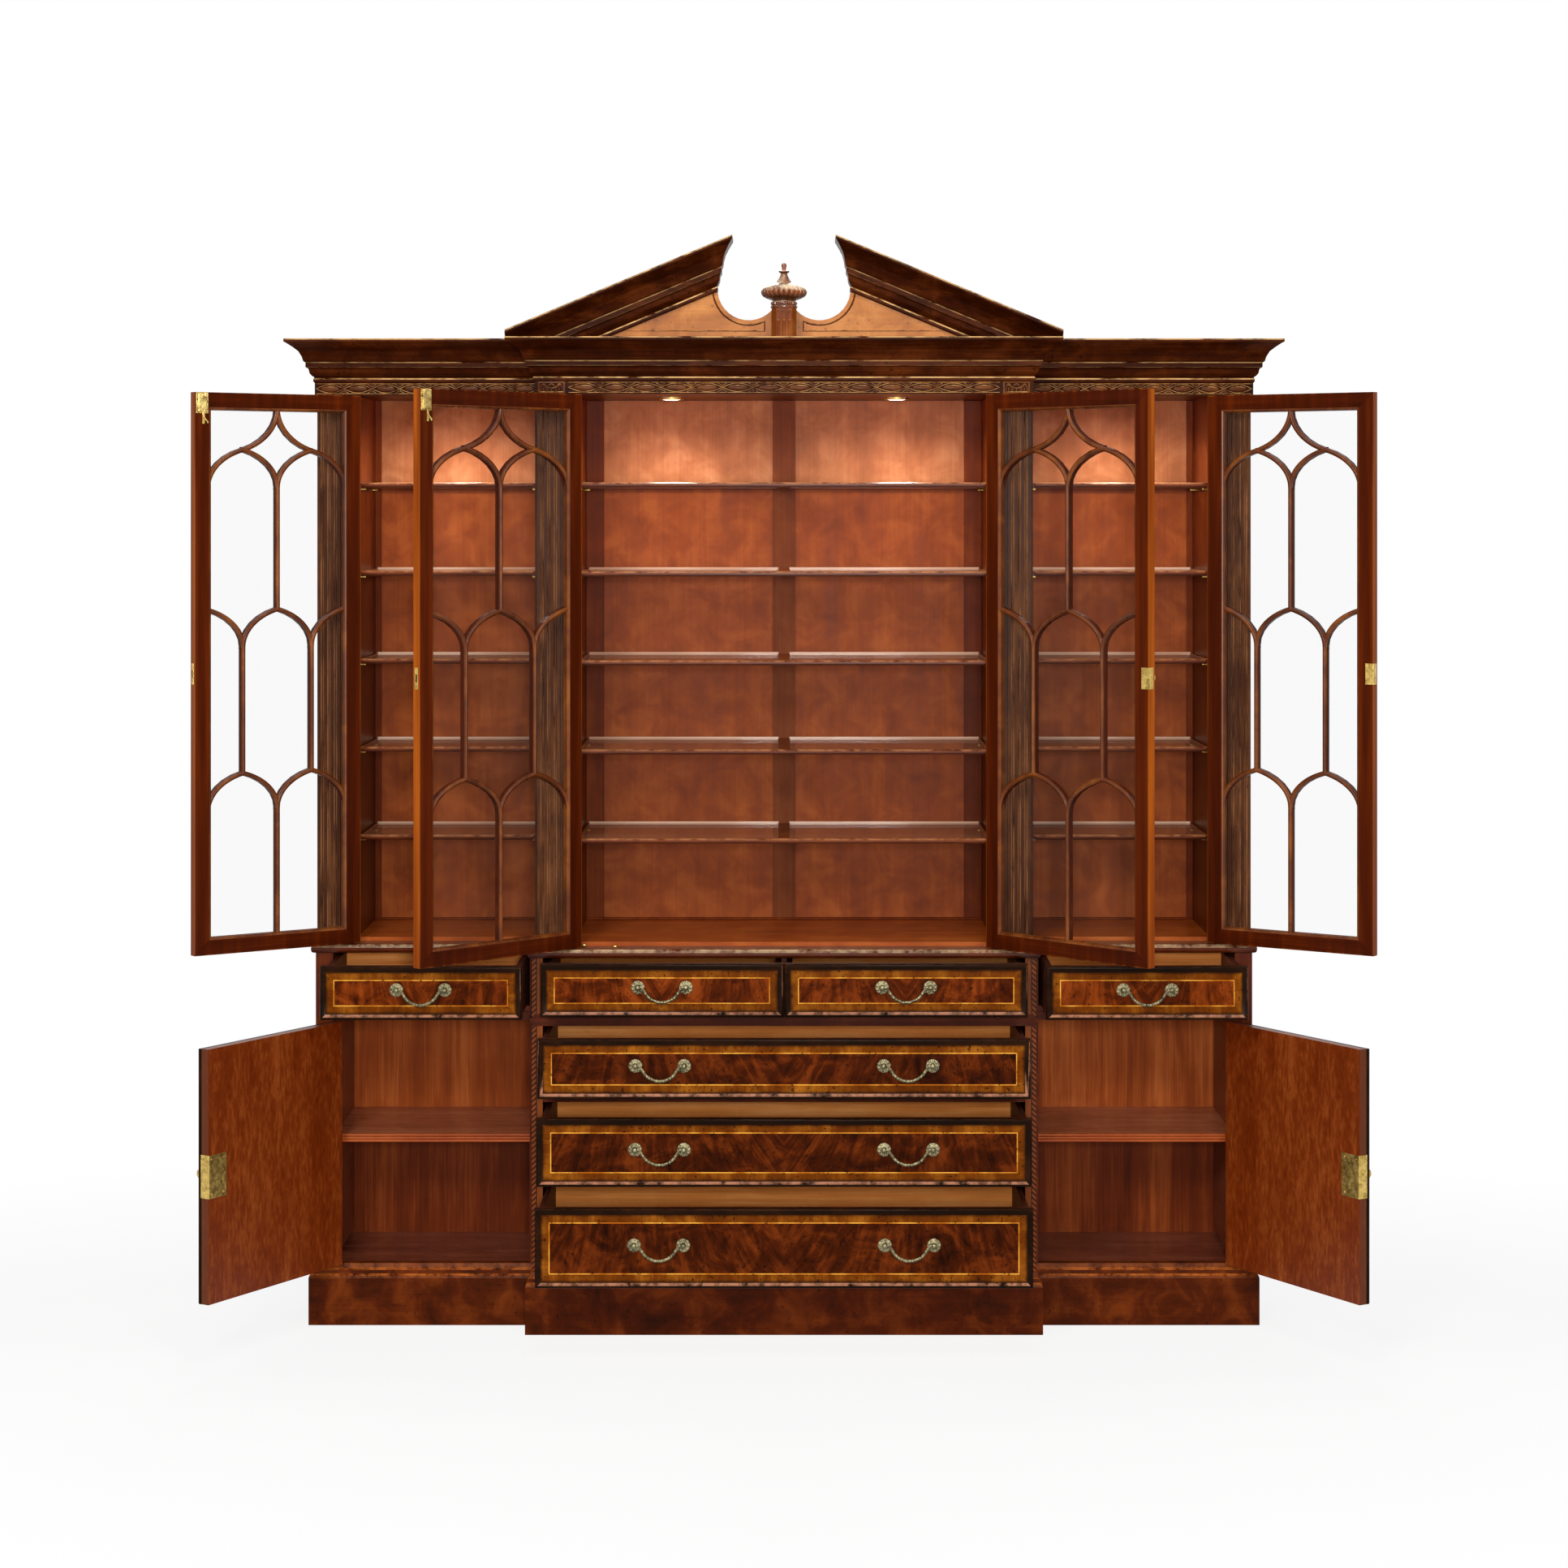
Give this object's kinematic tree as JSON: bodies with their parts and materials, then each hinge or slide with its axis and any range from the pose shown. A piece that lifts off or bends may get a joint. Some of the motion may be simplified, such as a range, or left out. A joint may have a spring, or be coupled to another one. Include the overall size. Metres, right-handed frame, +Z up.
{
  "type": "breakfront display cabinet",
  "caption": "Breakfront mahogany display cabinet: astragal-glazed doors over drawers and cupboards, open shelves, broken pediment with turned finial.",
  "frame": {"origin": "on the floor under the middle bearer of the plinth, at mid-depth of the centre case", "axes": "+X to the right along the width, +Y to the back, +Z up; the doors and drawers face -Y"},
  "size_m": [2.6988, 0.8215, 2.538],
  "materials": {
    "mahogany": "polished red-brown flame mahogany",
    "carved_mahogany": "polished dark mahogany mouldings",
    "drawer_wood": "polished flame mahogany with crossbanding and pale stringing",
    "interior_wood": "satin warm brown hardwood",
    "antique_brass": "dull antique brass",
    "lock_brass": "satin yellow brass",
    "glass": "clear"
  },
  "bodies": {
    "case": {"centre_shelves": "interior_wood", "chest_frame": "mahogany", "cornice": "carved_mahogany", "drawer_row_frame": "mahogany", "finial": "carved_mahogany", "finial_block": "carved_mahogany", "frieze": "carved_mahogany", "left_cupboard_shelf": "mahogany", "left_shelves": "interior_wood", "lower_back": "interior_wood", "lower_floor": "interior_wood", "lower_side_left": "mahogany", "lower_side_right": "mahogany", "plinth": "mahogany", "raking_cornice_left": "carved_mahogany", "raking_cornice_right": "carved_mahogany", "right_cupboard_shelf": "mahogany", "right_shelves": "interior_wood", "tympanum": "carved_mahogany", "upper_back": "interior_wood", "upper_floor": "interior_wood", "upper_partition_left": "carved_mahogany", "upper_partition_right": "carved_mahogany", "upper_side_left": "carved_mahogany", "upper_side_right": "carved_mahogany", "upper_top": "interior_wood", "waist_top": "mahogany"},
    "wing_door_left": {"wing_door_left": "mahogany", "wing_door_left_glass": "glass"},
    "wing_door_right": {"wing_door_right": "mahogany", "wing_door_right_glass": "glass"},
    "centre_door_left": {"centre_door_left": "mahogany", "centre_door_left_glass": "glass"},
    "centre_door_right": {"centre_door_right": "mahogany", "centre_door_right_glass": "glass"},
    "lower_door_left": {"lower_door_left": "mahogany"},
    "lower_door_right": {"lower_door_right": "mahogany"},
    "centre_door_bolt": {"centre_door_bolt": "lock_brass"},
    "centre_door_key": {"centre_door_key": "lock_brass"},
    "lower_door_key_left": {"lower_door_key_left": "lock_brass"},
    "lower_door_key_right": {"lower_door_key_right": "lock_brass"},
    "wing_door_bolt": {"wing_door_bolt": "lock_brass"},
    "wing_door_key": {"wing_door_key": "lock_brass"},
    "wing_drawer_left": {"wing_drawer_left": "drawer_wood"},
    "wing_drawer_right": {"wing_drawer_right": "drawer_wood"},
    "small_drawer_left": {"small_drawer_left": "drawer_wood"},
    "small_drawer_right": {"small_drawer_right": "drawer_wood"},
    "long_drawer_bottom": {"long_drawer_bottom": "drawer_wood"},
    "long_drawer_middle": {"long_drawer_middle": "drawer_wood"},
    "long_drawer_upper": {"long_drawer_upper": "drawer_wood"},
    "long_drawer_bottom_bail_1": {"long_drawer_bottom_bail_1": "antique_brass"},
    "long_drawer_bottom_bail_2": {"long_drawer_bottom_bail_2": "antique_brass"},
    "long_drawer_middle_bail_1": {"long_drawer_middle_bail_1": "antique_brass"},
    "long_drawer_middle_bail_2": {"long_drawer_middle_bail_2": "antique_brass"},
    "long_drawer_upper_bail_1": {"long_drawer_upper_bail_1": "antique_brass"},
    "long_drawer_upper_bail_2": {"long_drawer_upper_bail_2": "antique_brass"},
    "small_drawer_left_bail": {"small_drawer_left_bail": "antique_brass"},
    "small_drawer_right_bail": {"small_drawer_right_bail": "antique_brass"},
    "wing_drawer_left_bail": {"wing_drawer_left_bail": "antique_brass"},
    "wing_drawer_right_bail": {"wing_drawer_right_bail": "antique_brass"}
  },
  "joints": [
    {"name": "wing_door_left_hinge", "type": "hinge", "parent": "case", "child": "wing_door_left", "pos_m": [-1.005, -0.1245, 1.5315], "axis": [0, 0, -1], "range_deg": [-146, 19]},
    {"name": "wing_door_right_hinge", "type": "hinge", "parent": "case", "child": "wing_door_right", "pos_m": [1.005, -0.1245, 1.5315], "axis": [0, 0, 1], "range_deg": [-146, 19]},
    {"name": "centre_door_left_hinge", "type": "hinge", "parent": "case", "child": "centre_door_left", "pos_m": [-0.48607, -0.2145, 1.5315], "axis": [0, 0, -1], "range_deg": [-134, 31]},
    {"name": "centre_door_right_hinge", "type": "hinge", "parent": "case", "child": "centre_door_right", "pos_m": [0.48607, -0.2145, 1.5315], "axis": [0, 0, 1], "range_deg": [-134, 31]},
    {"name": "lower_door_left_hinge", "type": "hinge", "parent": "case", "child": "lower_door_left", "pos_m": [-1.056, -0.1545, 0.42651], "axis": [0, 0, -1], "range_deg": [-122, 43]},
    {"name": "lower_door_right_hinge", "type": "hinge", "parent": "case", "child": "lower_door_right", "pos_m": [1.056, -0.1545, 0.42651], "axis": [0, 0, 1], "range_deg": [-122, 43]},
    {"name": "centre_door_bolt_slide", "type": "slide", "parent": "centre_door_left", "child": "centre_door_bolt", "axis": [0, 0, 1], "range_m": [0, 0.012]},
    {"name": "centre_door_key_turn", "type": "hinge", "parent": "centre_door_right", "child": "centre_door_key", "pos_m": [0.80417, -0.55037, 1.5315], "axis": [0.7193, 0.6947, 0], "range_deg": [0, 90]},
    {"name": "lower_door_key_left_turn", "type": "hinge", "parent": "lower_door_left", "child": "lower_door_key_left", "pos_m": [-1.28398, -0.52785, 0.42651], "axis": [-0.848, 0.5299, 0], "range_deg": [0, 90]},
    {"name": "lower_door_key_right_turn", "type": "hinge", "parent": "lower_door_right", "child": "lower_door_key_right", "pos_m": [1.28398, -0.52785, 0.42651], "axis": [0.848, 0.5299, 0], "range_deg": [0, 90]},
    {"name": "wing_door_bolt_slide", "type": "slide", "parent": "wing_door_left", "child": "wing_door_bolt", "axis": [0, 0, 1], "range_m": [0, 0.012]},
    {"name": "wing_door_key_turn", "type": "hinge", "parent": "wing_door_right", "child": "wing_door_key", "pos_m": [1.33114, -0.34991, 1.5315], "axis": [0.5592, 0.829, 0], "range_deg": [0, 90]},
    {"name": "wing_drawer_left_slide", "type": "slide", "parent": "case", "child": "wing_drawer_left", "axis": [0, -1, 0], "range_m": [-0.22, 0.04]},
    {"name": "wing_drawer_right_slide", "type": "slide", "parent": "case", "child": "wing_drawer_right", "axis": [0, -1, 0], "range_m": [-0.22, 0.04]},
    {"name": "small_drawer_left_slide", "type": "slide", "parent": "case", "child": "small_drawer_left", "axis": [0, -1, 0], "range_m": [-0.09, 0.24]},
    {"name": "small_drawer_right_slide", "type": "slide", "parent": "case", "child": "small_drawer_right", "axis": [0, -1, 0], "range_m": [-0.09, 0.24]},
    {"name": "long_drawer_bottom_slide", "type": "slide", "parent": "case", "child": "long_drawer_bottom", "axis": [0, -1, 0], "range_m": [-0.25, 0.08]},
    {"name": "long_drawer_middle_slide", "type": "slide", "parent": "case", "child": "long_drawer_middle", "axis": [0, -1, 0], "range_m": [-0.2, 0.13]},
    {"name": "long_drawer_upper_slide", "type": "slide", "parent": "case", "child": "long_drawer_upper", "axis": [0, -1, 0], "range_m": [-0.18, 0.15]},
    {"name": "long_drawer_bottom_bail_1_swing", "type": "hinge", "parent": "long_drawer_bottom", "child": "long_drawer_bottom_bail_1", "pos_m": [-0.28015, -0.5005, 0.26151], "axis": [-1, 0, 0], "range_deg": [0, 85]},
    {"name": "long_drawer_bottom_bail_2_swing", "type": "hinge", "parent": "long_drawer_bottom", "child": "long_drawer_bottom_bail_2", "pos_m": [0.28015, -0.5005, 0.26151], "axis": [-1, 0, 0], "range_deg": [0, 85]},
    {"name": "long_drawer_middle_bail_1_swing", "type": "hinge", "parent": "long_drawer_middle", "child": "long_drawer_middle_bail_1", "pos_m": [-0.28015, -0.4505, 0.46528], "axis": [-1, 0, 0], "range_deg": [0, 85]},
    {"name": "long_drawer_middle_bail_2_swing", "type": "hinge", "parent": "long_drawer_middle", "child": "long_drawer_middle_bail_2", "pos_m": [0.28015, -0.4505, 0.46528], "axis": [-1, 0, 0], "range_deg": [0, 85]},
    {"name": "long_drawer_upper_bail_1_swing", "type": "hinge", "parent": "long_drawer_upper", "child": "long_drawer_upper_bail_1", "pos_m": [-0.28015, -0.4305, 0.65028], "axis": [-1, 0, 0], "range_deg": [0, 85]},
    {"name": "long_drawer_upper_bail_2_swing", "type": "hinge", "parent": "long_drawer_upper", "child": "long_drawer_upper_bail_2", "pos_m": [0.28015, -0.4305, 0.65028], "axis": [-1, 0, 0], "range_deg": [0, 85]},
    {"name": "small_drawer_left_bail_swing", "type": "hinge", "parent": "small_drawer_left", "child": "small_drawer_left_bail", "pos_m": [-0.27904, -0.3405, 0.81401], "axis": [-1, 0, 0], "range_deg": [0, 85]},
    {"name": "small_drawer_right_bail_swing", "type": "hinge", "parent": "small_drawer_right", "child": "small_drawer_right_bail", "pos_m": [0.27904, -0.3405, 0.81401], "axis": [-1, 0, 0], "range_deg": [0, 85]},
    {"name": "wing_drawer_left_bail_swing", "type": "hinge", "parent": "wing_drawer_left", "child": "wing_drawer_left_bail", "pos_m": [-0.82554, -0.3805, 0.81401], "axis": [-1, 0, 0], "range_deg": [0, 85]},
    {"name": "wing_drawer_right_bail_swing", "type": "hinge", "parent": "wing_drawer_right", "child": "wing_drawer_right_bail", "pos_m": [0.82554, -0.3805, 0.81401], "axis": [-1, 0, 0], "range_deg": [0, 85]}
  ]
}
